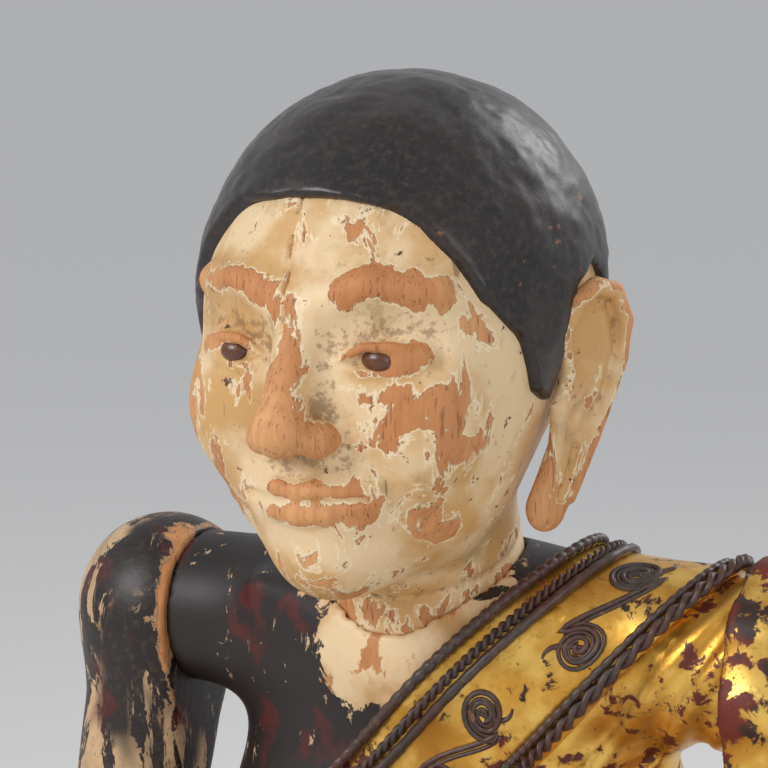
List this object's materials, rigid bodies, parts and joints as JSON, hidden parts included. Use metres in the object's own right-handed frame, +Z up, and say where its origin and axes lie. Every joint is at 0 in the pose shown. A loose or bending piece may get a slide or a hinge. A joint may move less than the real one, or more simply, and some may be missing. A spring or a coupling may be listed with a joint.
{
  "type": "kneeling monk statue",
  "caption": "Carved and lacquered wooden figure of a kneeling monk with joined palms, robe over one shoulder, on a stepped plinth.",
  "frame": {"origin": "centre of the plinth's underside", "axes": "+Z up, -Y the way the figure faces, +X the figure's left"},
  "size_m": [0.256, 0.34, 0.5016],
  "materials": {
    "bare_wood": "dry carved teak with open grain, the pegs and the worn high spots",
    "painted_skin": "cream paint over wood, worn through on high spots, with ochre varnish",
    "dark_skin": "black and dark red lacquer over wood, with cream flakes",
    "black_lacquer": "black lacquer, semi-gloss and dusty",
    "gilded_robe": "gold leaf over red lacquer, rubbed",
    "relief_lacquer": "rolled lacquer strings, dark grey brown",
    "eye_lacquer": "polished brown lacquer",
    "red_lacquer": "dark red lacquer, rubbed at the edges"
  },
  "bodies": {
    "root": {"plinth_foot_board": "red_lacquer", "plinth_waist_block": "black_lacquer", "plinth_top_board": "red_lacquer", "plinth_pin_front_left": "bare_wood", "plinth_pin_front_right": "bare_wood", "plinth_pin_rear_left": "bare_wood", "plinth_pin_rear_right": "bare_wood", "figure_pin_front": "bare_wood", "figure_pin_rear": "bare_wood", "waist_tenon": "bare_wood", "lap_block": "gilded_robe", "torso_block": "dark_skin", "neck_peg": "bare_wood", "right_shoulder_peg": "bare_wood", "left_shoulder_peg": "bare_wood", "head": "painted_skin", "left_eye_bead": "eye_lacquer", "right_eye_bead": "eye_lacquer", "hair_shell": "black_lacquer", "left_ear": "painted_skin", "right_ear": "painted_skin", "right_upper_arm": "dark_skin", "right_forearm": "dark_skin", "right_hand": "painted_skin", "left_draped_arm": "gilded_robe", "left_draped_forearm": "gilded_robe", "left_hand": "painted_skin", "left_elbow_peg": "bare_wood", "left_wrist_peg": "bare_wood", "right_elbow_peg": "bare_wood", "right_wrist_peg": "bare_wood", "palm_peg": "bare_wood", "robe_fall": "gilded_robe", "left_foot": "painted_skin", "left_foot_peg": "bare_wood", "right_foot": "painted_skin", "right_foot_peg": "bare_wood", "robe_edge_string": "relief_lacquer", "inner_string_upper": "relief_lacquer", "inner_string_lower": "relief_lacquer", "outer_string_thin": "relief_lacquer", "outer_string_thick": "relief_lacquer", "robe_border_band": "gilded_robe", "scroll_01": "relief_lacquer", "scroll_02": "relief_lacquer", "scroll_03": "relief_lacquer", "scroll_04": "relief_lacquer", "scroll_05": "relief_lacquer", "scroll_06": "relief_lacquer", "scroll_07": "relief_lacquer", "scroll_08": "relief_lacquer"}
  },
  "joints": []
}
